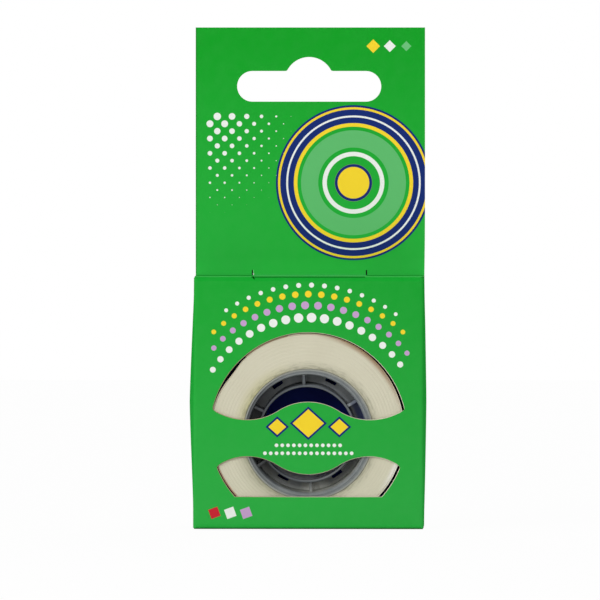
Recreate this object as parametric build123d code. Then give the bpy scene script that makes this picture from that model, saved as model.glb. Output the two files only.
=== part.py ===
from build123d import *
import os
from math import cos, radians, sin, sqrt

# A roll of matt tape on a moulded core, lying in a hanging carton of folded board.
# Millimetres. +Z is up, the windowed front faces -Y, and the origin is under the middle of the base.

# Board and creases
board = 0.4             # thickness of the carton board
crease_gap = 0.05       # room between two flaps that meet at a crease
edge_gap = 0.15         # room between a flap's cut edge and the wall beside it

# Tape and core
tape_width = 18.0
tape_r = 26.8           # outside of the outermost lap
lap_thickness = 0.25    # outermost lap, drawn thicker than one layer of film
lap_end_gap = 0.6       # along the roll, from the tab's free end to where the outermost lap starts
lap_end_angle = 130.0   # where the tab's free end lies, degrees from +X towards +Z
tab_length = 13.0       # along the roll
wind_gap = 0.05         # between the layers that are drawn apart
core_r = 18.1
core_drop = 1.1         # the core lies this far below the middle of the uneven winding
core_shift = 0.25       # and this far to the right of it
rim_wall = 1.8
rim_chamfer = 0.4
bore_r = 12.85          # at the front
bore_draft = 0.6        # the bore is narrower by this at the back
bore_wall = 0.6         # at the front
bore_inset = 0.5        # the bore ring stands back from the rim at each side
rib_count = 6
rib_thickness = 0.8
rib_inset = 1.6         # the ribs stand back from the rim at each side
rib_angle = 33.6        # first rib, degrees from +X towards +Z
web_thickness = 1.0
web_slot_length = 3.6   # slot in the web beside the rim, midway between two ribs
web_slot_width = 1.3

# Room round the roll
roll_front_gap = 0.25   # the roll stands close behind the front wall
roll_back_gap = 2.55
roll_floor_gap = 0.1
roll_shift = 0.3        # the roll has rolled this far to the left of the middle
side_room = 4.7         # to the left and right walls, for a roll in the middle
head_room = 15.4        # to the lid

# Windows in the front wall
window_margin = 0.4     # the round window is this much larger than the roll
window_drop = 0.17      # and lies this much lower
window_foot = 9.0       # from the base to the straight lower edge
window_corner_r = 0.5
band_drop = 1.95        # the band's middle lies below the window's middle
band_crest = 10.09      # half height at the middle
band_waist = 5.14       # half height where it is narrowest
band_end = 7.9          # half height where it meets the round edge
waist_x = 16.8          # from the middle to the narrowest place

# Header and its hanging slot
header_height = 69.1
slot_width = 40.2
slot_height = 8.57
slot_top_drop = 12.1    # from the header's top edge to the slot's straight upper edge
hump_r = 6.87
hump_rise = 4.04        # of the hump above the slot's straight upper edge
hump_fillet = 0.8

# Flaps
dust_flap_length = 13.0
dust_flap_corner_r = 4.0
lid_inset = 0.2         # lid and base are narrower than the carton by this at each side
tongue_spacing = 2.6    # from the tongue to the dust flaps beside it
lid_tongue_length = 9.0
base_tongue_length = 8.0
tongue_corner_r = 3.5
tongue_wall_gap = 0.35  # from a tongue to the back wall that it slides down
lip_height = 1.9
lip_slit = 0.3          # width of the slit at each end of the lip
lip_floor_gap = 0.1
glue_flap_width = 11.0
glue_flap_taper = 4.0   # the glue flap's free edge is shorter by this at each end
glue_flap_end_gap = 5.0 # from the glue flap to the base and to the lid
glue_thickness = 0.1
glue_dab_count = 4
glue_dab_width = 5.0
glue_dab_length = 9.0

# Sizes that follow
roll_x = -roll_shift
roll_z = board + roll_floor_gap + tape_r
carton_width = 2 * (tape_r + side_room + board)
carton_depth = tape_width + roll_front_gap + roll_back_gap + 2 * board
roll_y = board + roll_front_gap + (tape_width - carton_depth) / 2
carton_height = roll_z + tape_r + head_room + board
total_height = carton_height + header_height

wall_x = carton_width / 2 - board       # inner face of a side wall
wall_y = carton_depth / 2 - board       # inner face of the front or back wall
lid_under = carton_height - board
flap_x = wall_x - edge_gap              # outer end of a dust flap
flap_y = wall_y - edge_gap
top_flap_under = lid_under - crease_gap - board
bottom_flap_under = board + crease_gap
tongue_back = wall_y - tongue_wall_gap
tongue_half = flap_x - dust_flap_length - tongue_spacing
lip_top = carton_height + lip_height


def block(x, y, z):
    """A box from its (low, high) pair along each axis."""
    size = [high - low for low, high in (x, y, z)]
    low_corner = Pos(x[0], y[0], z[0])
    return low_corner * Box(*size, align=(Align.MIN, Align.MIN, Align.MIN))


def upright(outline, front_y):
    """A sheet of board cut to an outline in X and Z, with its front face at front_y."""
    return extrude(Plane((0, front_y + board, 0), (1, 0, 0), (0, -1, 0)) * outline, board)


def level(outline, under_z):
    """A sheet of board cut to an outline in X and Y, with its lower face at under_z."""
    return extrude(Pos(0, 0, under_z) * outline, board)


def rectangle(low, high):
    """A flat rectangle from its low corner to its high corner."""
    return Pos(*low) * Rectangle(high[0] - low[0], high[1] - low[1], align=(Align.MIN, Align.MIN))


def round_corners(outline, radius, inside):
    """Rounds the corners of an outline whose (x, y) passes the test."""
    corners = [v for v in outline.vertices() if inside(v.X, v.Y)]
    return fillet(corners, radius)


# Front wall. The round window is crossed by a band whose edges are waves of tangent arcs.
window_r = tape_r + window_margin
window_z = roll_z - window_drop
band_z = window_z - band_drop


def window(side):
    """The window above the band (side 1) or below it (side -1)."""
    end_z = band_z + side * band_end
    end_x = sqrt(window_r**2 - (end_z - window_z) ** 2)
    waist_z = band_z + side * band_waist
    crest_z = band_z + side * band_crest
    turn_x = waist_x / 2
    turn_z = (waist_z + crest_z) / 2
    wave = [
        TangentArc((-waist_x, waist_z), (-end_x, end_z), tangent=(-1, 0)),
        TangentArc((-waist_x, waist_z), (-turn_x, turn_z), tangent=(1, 0)),
        ThreePointArc((-turn_x, turn_z), (0, crest_z), (turn_x, turn_z)),
        TangentArc((waist_x, waist_z), (turn_x, turn_z), tangent=(-1, 0)),
        TangentArc((waist_x, waist_z), (end_x, end_z), tangent=(1, 0)),
    ]
    if side > 0:
        arch = ThreePointArc((-end_x, end_z), (0, window_z + window_r), (end_x, end_z))
        return make_face([*wave, arch])
    foot_x = sqrt(window_r**2 - (window_foot - window_z) ** 2)
    middle_z = (window_foot + end_z) / 2
    middle_x = sqrt(window_r**2 - (middle_z - window_z) ** 2)
    rest = [
        ThreePointArc((-end_x, end_z), (-middle_x, middle_z), (-foot_x, window_foot)),
        Line((-foot_x, window_foot), (foot_x, window_foot)),
        ThreePointArc((foot_x, window_foot), (middle_x, middle_z), (end_x, end_z)),
    ]
    return make_face([*wave, *rest])


def window_cut(side):
    """A window with its sharp ends eased."""
    return round_corners(window(side), window_corner_r, lambda x, z: abs(x) > waist_x + window_corner_r)


front_sheet = rectangle((-carton_width / 2, board), (carton_width / 2, lid_under))
front_panel = upright(front_sheet - window_cut(1) - window_cut(-1), -carton_depth / 2)

# Back wall and header, one sheet, with the hanging slot and a notch for the lip
slot_z = total_height - slot_top_drop - slot_height / 2
hump_z = total_height - slot_top_drop + hump_rise - hump_r
slot = Pos(0, slot_z) * SlotOverall(slot_width, slot_height)
hump_floor = rectangle((-hump_r, hump_z - 2 * hump_r), (hump_r, slot_z))
slot += Pos(0, hump_z) * Circle(hump_r) - hump_floor
slot = round_corners(slot, hump_fillet, lambda x, z: abs(x) < hump_r and z > slot_z)
lip_notch = rectangle((-tongue_half - lip_slit, carton_height), (tongue_half + lip_slit, lip_top))
back_sheet = rectangle((-carton_width / 2, 0), (carton_width / 2, total_height))
back_panel = upright(back_sheet - slot - lip_notch, wall_y)
lip_sheet = rectangle((-tongue_half, carton_height + lip_floor_gap), (tongue_half, lip_top - crease_gap))
lock_lip = upright(lip_sheet, wall_y)


def side_panel(side):
    """The right (side 1) or left (side -1) wall, between the front and back walls."""
    x = sorted((side * wall_x, side * carton_width / 2))
    return block(x, (-wall_y, wall_y), (board, lid_under))


# Glue flap on the back wall's left edge, stuck to the inside of the left wall
seam_x = -wall_x + glue_thickness
flap_low = board + glue_flap_end_gap
flap_high = lid_under - glue_flap_end_gap
flap_edge_y = wall_y - glue_flap_width
flap_outline = Polyline(
    (wall_y, flap_low),
    (flap_edge_y, flap_low + glue_flap_taper),
    (flap_edge_y, flap_high - glue_flap_taper),
    (wall_y, flap_high),
    close=True,
)
glue_flap = extrude(Plane((seam_x, 0, 0), (0, 1, 0), (1, 0, 0)) * make_face(flap_outline), board)

# Dabs of glue, evenly spaced up the middle of the flap
dab_y = wall_y - glue_flap_width / 2
dab_step = (flap_high - flap_low - 2 * glue_flap_taper) / glue_dab_count
first_dab_z = flap_low + glue_flap_taper + dab_step / 2
dab_y_span = (dab_y - glue_dab_width / 2, dab_y + glue_dab_width / 2)
dabs = []
for i in range(glue_dab_count):
    dab_z = first_dab_z + i * dab_step
    dab_z_span = (dab_z - glue_dab_length / 2, dab_z + glue_dab_length / 2)
    dabs.append(block((-wall_x, seam_x), dab_y_span, dab_z_span))
seam_glue = Compound(dabs)


def closure(under_z):
    """The lid or the base: a plain panel from the front crease to just short of the back wall."""
    half = carton_width / 2 - lid_inset
    return level(rectangle((-half, -carton_depth / 2), (half, wall_y - edge_gap)), under_z)


def tongue(crease_z, length, turn):
    """The tuck flap on a closure's rear edge, reaching down (turn -1) or up (turn 1) from its crease."""
    root_z = crease_z + turn * crease_gap
    tip_z = root_z + turn * length
    sheet = rectangle((-tongue_half, min(root_z, tip_z)), (tongue_half, max(root_z, tip_z)))
    sheet = round_corners(sheet, tongue_corner_r, lambda x, z: abs(z - tip_z) < abs(z - root_z))
    return upright(sheet, tongue_back - board)


def dust_flap(side, under_z):
    """The flap on the right (side 1) or left (side -1) wall, lying level just inside a closure."""
    free_x = side * (flap_x - dust_flap_length)
    low_x, high_x = sorted((side * flap_x, free_x))
    sheet = rectangle((low_x, -flap_y), (high_x, flap_y))
    sheet = round_corners(sheet, dust_flap_corner_r, lambda x, y: abs(x - free_x) < dust_flap_length / 2)
    return level(sheet, under_z)


# Roll. Its pieces are drawn round the roll's own axis, with the length of the axis along Y.
roll_plane = Plane((roll_x, roll_y + tape_width / 2, roll_z), (1, 0, 0), (0, -1, 0))


def on_roll(outline, inset=0.0):
    """An outline in the roll's face, carried through the tape's width less an inset at each side."""
    sunk = Plane(roll_plane.origin - (0, inset, 0), (1, 0, 0), (0, -1, 0))
    return extrude(sunk * outline, tape_width - 2 * inset)


def ring(outer, inner):
    return Circle(outer) - Circle(inner)


def polar(radius, angle):
    return (radius * cos(radians(angle)), radius * sin(radians(angle)))


def strip(inner, thickness, first, last):
    """A strip lying on the roll from one angle to another, with square ends."""
    outer = inner + thickness
    middle = (first + last) / 2
    inside = ThreePointArc(polar(inner, first), polar(inner, middle), polar(inner, last))
    outside = ThreePointArc(polar(outer, first), polar(outer, middle), polar(outer, last))
    ends = [Line(inside @ 0, outside @ 0), Line(inside @ 1, outside @ 1)]
    return make_face([inside, outside, *ends])


# Core: rim, bore ring, ribs between them, and a web with a slot in each bay
rim_inner = core_r - rim_wall
bore_outer = bore_r + bore_wall
core_spot = Pos(core_shift, -core_drop)
rim = on_roll(core_spot * ring(core_r, rim_inner))
rim_edges = rim.edges().filter_by(GeomType.CIRCLE).filter_by(lambda e: e.radius < core_r - rim_wall / 2)
rim = chamfer(rim_edges, rim_chamfer)
web_ring = ring(rim_inner + rim_wall / 2, bore_outer - bore_wall / 2)
rib_step = 360 / rib_count
rib_reach = rim_inner - bore_outer + bore_wall / 2 + rim_wall / 2
rib_middle = (rim_inner + rim_wall / 2 + bore_outer - bore_wall / 2) / 2
ribs = Sketch()
for i in range(rib_count):
    ribs += Rot(0, 0, rib_angle + i * rib_step) * Pos(rib_middle, 0) * Rectangle(rib_reach, rib_thickness)
    slot_angle = rib_angle + (i + 0.5) * rib_step
    slot_middle = rim_inner - web_slot_width / 2
    web_ring -= Rot(0, 0, slot_angle) * Pos(slot_middle, 0) * Rectangle(web_slot_width, web_slot_length)
bore = Cone(bore_r - bore_draft, bore_r, tape_width, align=(Align.CENTER, Align.CENTER, Align.MIN))
bore_ring = on_roll(core_spot * Circle(bore_outer), bore_inset) - roll_plane * core_spot * bore
roll_core = rim + bore_ring + on_roll(core_spot * ribs, rib_inset)
roll_core += on_roll(core_spot * web_ring, (tape_width - web_thickness) / 2)

# Tape: the winding as one body, the outermost lap over it, and the tab that carries the lap on to its free end
lap_inner = tape_r - lap_thickness
lap_start_angle = lap_end_angle + lap_end_gap / (radians(1) * lap_inner)
tab_angle = lap_end_angle - tab_length / (radians(1) * lap_inner)
lap_seam_angle = tab_angle - wind_gap / (radians(1) * lap_inner)
wound_tape = on_roll(Circle(lap_inner - wind_gap) - core_spot * Circle(core_r + wind_gap))
outer_lap = on_roll(strip(lap_inner, lap_thickness, lap_start_angle - 360, lap_seam_angle))
starter_tab = on_roll(strip(lap_inner, lap_thickness, tab_angle, lap_end_angle))
lap_ends = [Vector(*polar(lap_inner, angle)) for angle in (lap_end_angle, lap_start_angle)]
print(f"least gap from the tab to the start of its lap: {(lap_ends[1] - lap_ends[0]).length:.2f} mm")

pieces = {
    "back_panel": back_panel,
    "front_panel": front_panel,
    "left_side_panel": side_panel(-1),
    "right_side_panel": side_panel(1),
    "glue_flap": glue_flap,
    "seam_glue": seam_glue,
    "lid_panel": closure(lid_under),
    "lid_tongue": tongue(lid_under, lid_tongue_length, -1),
    "top_left_dust_flap": dust_flap(-1, top_flap_under),
    "top_right_dust_flap": dust_flap(1, top_flap_under),
    "lock_lip": lock_lip,
    "base_panel": closure(0),
    "base_tongue": tongue(board, base_tongue_length, 1),
    "bottom_left_dust_flap": dust_flap(-1, bottom_flap_under),
    "bottom_right_dust_flap": dust_flap(1, bottom_flap_under),
    "roll_core": roll_core,
    "wound_tape": wound_tape,
    "outer_lap": outer_lap,
    "starter_tab": starter_tab,
}

os.makedirs("parts", exist_ok=True)
for name, piece in pieces.items():
    export_step(piece, f"parts/{name}.step")
print(f"carton {carton_width:.2f} x {carton_depth:.2f} x {total_height:.2f} mm")
print(f"roll middle at x {roll_x:.2f}, y {roll_y:.2f}, z {roll_z:.2f} mm")
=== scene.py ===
import bpy
import bmesh
import math
import numpy as np
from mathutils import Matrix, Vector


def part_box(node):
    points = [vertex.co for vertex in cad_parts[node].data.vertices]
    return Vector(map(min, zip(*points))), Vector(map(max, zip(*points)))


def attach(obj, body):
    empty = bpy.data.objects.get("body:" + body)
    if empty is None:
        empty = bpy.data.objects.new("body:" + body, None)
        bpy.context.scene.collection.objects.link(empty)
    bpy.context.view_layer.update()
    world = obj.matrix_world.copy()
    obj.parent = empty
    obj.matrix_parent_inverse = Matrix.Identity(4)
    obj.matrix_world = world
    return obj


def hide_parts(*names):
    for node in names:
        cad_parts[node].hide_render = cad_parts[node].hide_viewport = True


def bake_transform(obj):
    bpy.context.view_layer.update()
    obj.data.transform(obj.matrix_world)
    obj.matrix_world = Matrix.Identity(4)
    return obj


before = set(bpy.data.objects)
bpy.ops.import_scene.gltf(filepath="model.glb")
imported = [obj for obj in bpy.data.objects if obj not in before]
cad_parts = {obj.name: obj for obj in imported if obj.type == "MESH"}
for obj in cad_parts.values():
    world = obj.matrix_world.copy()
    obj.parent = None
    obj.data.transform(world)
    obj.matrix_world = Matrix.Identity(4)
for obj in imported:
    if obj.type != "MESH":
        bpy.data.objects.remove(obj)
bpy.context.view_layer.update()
mm = 0.001                                   # every surface below is worked out in millimetres


def nodeSpan(node):
    low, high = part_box(node)
    return np.array(low) / mm, np.array(high) / mm


frontLow, frontHigh = nodeSpan("front_panel")
backLow, backHigh = nodeSpan("back_panel")
lidHigh = nodeSpan("lid_panel")[1]
topFlapLow, topFlapHigh = nodeSpan("top_right_dust_flap")
baseFlapLow, baseFlapHigh = nodeSpan("bottom_right_dust_flap")
lidTongueLow, lidTongueHigh = nodeSpan("lid_tongue")
baseTongueLow, baseTongueHigh = nodeSpan("base_tongue")
lipLow, lipHigh = nodeSpan("lock_lip")
glueLow, glueHigh = nodeSpan("glue_flap")
woundLow, woundHigh = nodeSpan("wound_tape")
coreLow, coreHigh = nodeSpan("roll_core")

halfWidth = frontHigh[0]
halfDepth = backHigh[1]
boardThick = frontHigh[1] - frontLow[1]
lidTop = lidHigh[2]
headerTop = backHigh[2]
rollX, rollY, rollZ = (woundLow + woundHigh) / 2
rollHalf = woundHigh[1] - rollY
woundOuter = woundHigh[0] - rollX
coreX, coreZ = ((coreLow + coreHigh) / 2)[[0, 2]]        # a little off the middle, as the winding is uneven
coreOuter = coreHigh[0] - coreX
print("frame loaded, carton", 2 * halfWidth, 2 * halfDepth, headerTop)


def mathsNode(operation, turned=False):      # a method that adds one Math node; turned puts the wire last
    def method(self, *others):
        sockets = [*others, self] if turned else [self, *others]
        return self.finish.node("ShaderNodeMath", {"operation": operation}, sockets)
    return method


class Wire:                                  # a socket that takes part in Python sums
    def __init__(self, finish, socket):
        self.finish = finish
        self.socket = socket

    def clamp(self):
        return self.finish.node("ShaderNodeMath", {"operation": "ADD", "use_clamp": True}, [self, 0])

    __add__ = mathsNode("ADD")
    __radd__ = mathsNode("ADD", turned=True)
    __sub__ = mathsNode("SUBTRACT")
    __rsub__ = mathsNode("SUBTRACT", turned=True)
    __mul__ = mathsNode("MULTIPLY")
    __rmul__ = mathsNode("MULTIPLY", turned=True)
    __truediv__ = mathsNode("DIVIDE")
    __rtruediv__ = mathsNode("DIVIDE", turned=True)
    __abs__ = mathsNode("ABSOLUTE")
    most = mathsNode("MAXIMUM")
    root = mathsNode("SQRT")
    part = mathsNode("FRACT")                # what is left after the whole number
    whole = mathsNode("FLOOR")
    above = mathsNode("GREATER_THAN")
    below = mathsNode("LESS_THAN")
    bearing = mathsNode("ARCTAN2")           # up.bearing(across)


class Finish:                                # the nodes of one material, or of the world
    def __init__(self, owner):
        owner.use_nodes = True
        self.owner = owner
        self.tree = owner.node_tree
        self.tree.nodes.clear()

    def node(self, kind, settings, sockets, output=0):
        made = self.tree.nodes.new(kind)
        for key, value in settings.items():
            setattr(made, key, value)
        pairs = sockets.items() if isinstance(sockets, dict) else enumerate(sockets)
        for key, value in pairs:
            if isinstance(value, Wire):
                self.tree.links.new(value.socket, made.inputs[key])
            else:
                made.inputs[key].default_value = value
        return Wire(self, made.outputs[output]) if made.outputs else None

    def place(self):                         # the point's rest place in millimetres
        return self.node("ShaderNodeAttribute", {"attribute_name": "restPoint"}, {}, "Vector")

    def split(self, axes):                   # the named coordinates of that place
        cut = self.node("ShaderNodeSeparateXYZ", {}, [self.place()])
        return [Wire(self, cut.socket.node.outputs[axis]) for axis in axes]

    def stretched(self, amounts):
        return self.node("ShaderNodeVectorMath", {"operation": "MULTIPLY"}, [self.place(), amounts])

    def noise(self, vector, scale, detail, **others):
        sockets = {"Vector": vector, "Scale": scale, "Detail": detail, **others}
        return self.node("ShaderNodeTexNoise", {}, sockets)

    def mix(self, factor, first, second):
        return self.node("ShaderNodeMix", {"data_type": "RGBA"}, {0: factor, 6: first, 7: second}, 2)

    def over(self, colour, palette, **masks):        # each named tone laid over the last through its mask
        for name, mask in masks.items():
            colour = self.mix(mask, colour, palette[name])
        return colour

    def blendShaders(self, factor, first, second):
        return self.node("ShaderNodeMixShader", {}, [factor, first, second])

    def surface(self, colour, roughness, gloss, grain, strength, distance=0.00004):
        # a plain surface with a bump of the grain, its distance in metres
        bump = self.node("ShaderNodeBump", {}, {"Height": grain, "Strength": strength, "Distance": distance})
        sockets = {"Base Color": colour, "Roughness": roughness, "Specular IOR Level": gloss, "Normal": bump}
        return self.show(self.node("ShaderNodeBsdfPrincipled", {}, sockets))

    def show(self, shader):
        kind = "World" if isinstance(self.owner, bpy.types.World) else "Material"
        self.node("ShaderNodeOutput" + kind, {}, [shader])
        return self.owner


def newFinish(name):
    return Finish(bpy.data.materials.new(name))


def linearTone(red, green, blue):            # a colour as a screen shows it, 0 to 255, by the sRGB curve
    share = np.array([red, green, blue]) / 255
    linear = np.where(share <= 0.04045, share / 12.92, ((share + 0.055) / 1.055) ** 2.4)
    return (*linear.tolist(), 1.0)


def tones(**screen):
    return {name: linearTone(*value) for name, value in screen.items()}


def ramp(value, start, end):                 # 0 at start, 1 at end, held beyond both
    return ((value - start) / (end - start)).clamp()


def bell(value, middle, top, slope):         # 1 near the middle, falling evenly to 0 on both sides
    return (top - abs(value - middle) * slope).clamp()


def inked(distance, soft=0.1):               # 1 inside a drawn edge and 0 outside it
    return (0.5 - distance / soft).clamp()


def ringed(distance, low, high):             # 1 between two distances
    return inked(abs(distance - (low + high) / 2) - (high - low) / 2)


def span(across, up):
    return (across * across + up * up).root()


def farFrom(x, z, middle):                   # distance from a point
    return span(x - middle[0], z - middle[1])


def bearingFrom(x, z, middle):               # angle round a point, from the right towards the top
    return (z - middle[1]).bearing(x - middle[0])


def cells(value, pitch):                     # offset from the middle of a cell, and that middle
    cell = value / pitch
    return (cell.part() - 0.5) * pitch, (cell.whole() + 0.5) * pitch


def turnedBy(x, z, middle, degrees):         # coordinates on axes turned about a point
    cosine, sine = math.cos(math.radians(degrees)), math.sin(math.radians(degrees))
    across, up = x - middle[0], z - middle[1]
    return across * cosine + up * sine, up * cosine - across * sine


# in ink, dark lays painted shade on the front's right side and over the base's and lid's folds, worn is
# painted light at the header's foot, crest a painted highlight on the lid's fold and top, and slit painted
# shadow in the slits and the tear
ink = tones(
    headerTop=(11, 158, 34), headerFoot=(36, 176, 60), boxTop=(23, 164, 48), boxFoot=(43, 171, 66),
    slit=(4, 30, 8), dark=(8, 62, 22), worn=(50, 196, 76), crest=(84, 216, 104), frayed=(150, 238, 160),
    navy=(18, 42, 112), inside=(20, 38, 128), deepInside=(12, 24, 90), yellow=(248, 214, 48),
    pale=(108, 192, 122), white=(238, 241, 236), lilac=(198, 160, 206), red=(204, 38, 52),
)
ground = {"header": (74, 134), "box": (8, 68), "mottle": 0.08, "tint": 0.015}     # foot and top heights
board = {"fibre": (1.0, 1.0, 2.2), "gloss": 0.07, "cornerWidth": 1.2, "cornerDrop": 2.0}


def greenGround(coat, z, sheet):
    # plain green, deeper towards the top of the header or of the box, with a very faint mottle
    colour = coat.mix(ramp(z, *ground[sheet]), ink[sheet + "Foot"], ink[sheet + "Top"])
    mottle = coat.noise(coat.place(), 0.35, 3.0)
    return coat.mix((mottle - 0.5) * ground["mottle"] + ground["tint"], colour, ink["pale"])


def boardFinish(coat, colour, gloss=board["gloss"]):
    # varnished print: fine board fibre under the gloss
    fibre = coat.noise(coat.stretched(board["fibre"]), 2.4, 4.0)
    return coat.surface(colour, 0.40 + fibre * 0.16, gloss, fibre, 0.12)


headerPrint = {
    "sun": (12.0, 95.6),
    # ink, from which to which distance from the sun's middle, strength
    "rings": (("pale", 9.8, 14.6, 0.75), ("navy", 16.0, 21.6, 1), ("yellow", 20.4, 21.0, 1),
              ("yellow", 15.6, 16.6, 1), ("white", 18.2, 18.7, 1), ("white", 7.4, 8.6, 1),
              ("yellow", -5.2, 5.2, 1), ("navy", 4.4, 5.2, 1)),
    "dotStart": (-30, 112), "dotPitch": 2.9, "dotRadius": 1.15, "dotLoss": 0.12, "dotTop": 115,
    "fadeUp": (84, 114), "fadeAcross": (-2, -24),
    "lozenges": ("yellow", "white", "pale"), "lozengeAt": (17.5, 133.6), "lozengePitch": 4.6,
    "lozengeReach": 1.9, "lozengeLoss": 0.25,
    "slits": (-0.36 - lipHigh[0], lipHigh[0] - 0.13),    # both a little left of the cuts' own places
    "slitTop": lipHigh[2] - 0.42, "slitHalf": 0.19, "frayAside": 0.29, "frayHalf": 0.11, "frayRise": 0.5,
    # the first pair gives the heights of the painted light at the header's foot
    "wornFoot": (75, 70), "lipRise": 0.45, "edgeWidth": 0.35, "insideMargin": 1.0,
}


def headerFinish():
    # distances from a point right of the middle give a set of rings, a turned lattice gives the fading dots,
    # lozenges come from the sum of two distances; at the foot are painted light against the lid's shade, a
    # painted highlight over the lip, painted shadow in the lip's slits, and the inside
    coat = newFinish("headerPrint")
    x, z = coat.split("XZ")
    colour = greenGround(coat, z, "header")
    sun = farFrom(x, z, headerPrint["sun"])
    for name, low, high, strength in headerPrint["rings"]:
        colour = coat.mix(ringed(sun, low, high) * strength, colour, ink[name])
    start, pitch, diagonal = headerPrint["dotStart"], headerPrint["dotPitch"], math.sqrt(0.5)
    across, up = turnedBy(x, z, start, 45)
    (dotX, cellX), (dotZ, cellZ) = cells(across, pitch), cells(up, pitch)
    atX, atZ = (cellX - cellZ) * diagonal + start[0], (cellX + cellZ) * diagonal + start[1]
    fade = ramp(atZ, *headerPrint["fadeUp"]) * ramp(atX, *headerPrint["fadeAcross"])
    dots = inked(span(dotX, dotZ) - fade * headerPrint["dotRadius"] + headerPrint["dotLoss"])
    dots = dots * atZ.below(headerPrint["dotTop"]) * atX.above(start[0])
    colour = coat.mix(dots, colour, ink["white"])
    firstX, level = headerPrint["lozengeAt"]
    for step, name in enumerate(headerPrint["lozenges"]):
        reach = headerPrint["lozengeReach"] - headerPrint["lozengeLoss"] * step
        lozenge = abs(x - (firstX + headerPrint["lozengePitch"] * step)) + abs(z - level) - reach
        colour = coat.mix(inked(lozenge), colour, ink[name])
    low = z.below(headerPrint["slitTop"])
    left, right = [abs(x - at) - headerPrint["slitHalf"] for at in headerPrint["slits"]]
    fibres = abs(x - headerPrint["slits"][0] - headerPrint["frayAside"]) - headerPrint["frayHalf"]
    frayed = inked(fibres) * low             # beside the left slit
    # painted highlight along the header's foot over the lip
    overLip = inked(z - lidTop - headerPrint["lipRise"]) * abs(x).below(lipHigh[0])
    colour = coat.over(
        colour, ink,
        # painted light: the header's foot lifted against the shade of the lid and box, with the highlight
        # over the lip
        worn=ramp(z, *headerPrint["wornFoot"]) * 0.5 + overLip * 0.4,
        dark=inked(x + halfWidth - headerPrint["edgeWidth"]) * 0.35,     # the left edge
        # painted shadow in the slits beside the lip
        slit=inked(left).most(inked(right)) * low,
        frayed=frayed * 0.6,
        white=frayed * inked(z - lidTop - headerPrint["frayRise"]),
        inside=z.below(lidTop) * abs(x).below(halfWidth - headerPrint["insideMargin"]),
    )
    return boardFinish(coat, colour)


frontPrint = {
    "middle": (0.0, 27.13), "dotPitch": 3.6, "dotRadius": 1.15, "dotLoss": 0.45,
    # ink, distance from the windows' middle, size, reach to both sides of the top in radians
    "rows": (("white", 31.4, 1.15, 1.02), ("lilac", 34.8, 0.95, 0.92),
             ("yellow", 37.9, 0.8, 0.80), ("white", 40.4, 0.6, 0.66)),
    "lozenges": ((0.0, 29.3, 3.9), (-8.6, 28.3, 2.2), (8.6, 28.3, 2.2)), "outline": 0.75, "stretch": 0.9,
    "beads": ((23.2, 10.2), (21.0, 13.4)), "beadPitch": 1.6, "beadRadius": 0.5,
    "squares": ("red", "white", "lilac"), "squareAt": (-26.0, 4.5), "squarePitch": 4.4,
    "squareHalf": 1.35, "squareTurn": 20, "shade": (-10, 32),
}


def frontFinish():
    # rows of dots follow circles round the windows; lozenges and beads lie along the band
    coat = newFinish("frontPrint")
    x, z = coat.split("XZ")
    colour = greenGround(coat, z, "box")
    # painted shade: the front darkens towards the right, away from the light
    colour = coat.mix(ramp(x, *frontPrint["shade"]) * 0.06, colour, ink["dark"])
    radius = farFrom(x, z, frontPrint["middle"])
    bearing = bearingFrom(x, z, frontPrint["middle"])
    for name, at, size, reach in frontPrint["rows"]:
        count = round(2 * math.pi * at / frontPrint["dotPitch"])
        turn, cell = cells(bearing, 2 * math.pi / count)
        lean = abs(cell - math.pi / 2)
        dotRadius = (frontPrint["dotRadius"] - lean * frontPrint["dotLoss"]) * size
        dots = inked(span(turn * at, radius - at) - dotRadius)
        colour = coat.mix(dots * lean.below(reach), colour, ink[name])
    for place, level, size in frontPrint["lozenges"]:
        lozenge = abs(x - place) * frontPrint["stretch"] + abs(z - level) - size
        colour = coat.over(colour, ink, navy=inked(lozenge - frontPrint["outline"]), yellow=inked(lozenge))
    bead, cell = cells(x, frontPrint["beadPitch"])
    for level, reach in frontPrint["beads"]:
        beads = inked(span(bead, z - level) - frontPrint["beadRadius"]) * abs(cell).below(reach)
        colour = coat.mix(beads, colour, ink["white"])
    firstX, level = frontPrint["squareAt"]
    for step, name in enumerate(frontPrint["squares"]):
        middle = (firstX + frontPrint["squarePitch"] * step, level)
        across, up = turnedBy(x, z, middle, frontPrint["squareTurn"])
        colour = coat.mix(inked(abs(across).most(abs(up)) - frontPrint["squareHalf"]), colour, ink[name])
    return boardFinish(coat, colour)


plainPrint = {
    "dotPitch": 4.2, "dotRadius": 1.2, "dotRange": (16.8, 50.4), "foldDepth": 1.0, "creaseTop": 1.0,
    "tearAt": -15.33, "tearSlant": 0.5, "tearHalf": 0.17, "tearDrop": 0.8, "tearDepth": 2.0,
    "wallSkin": 0.3, "foldDrop": 0.42, "crestDrop": 0.13, "levelDrop": 0.15,
}


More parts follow.
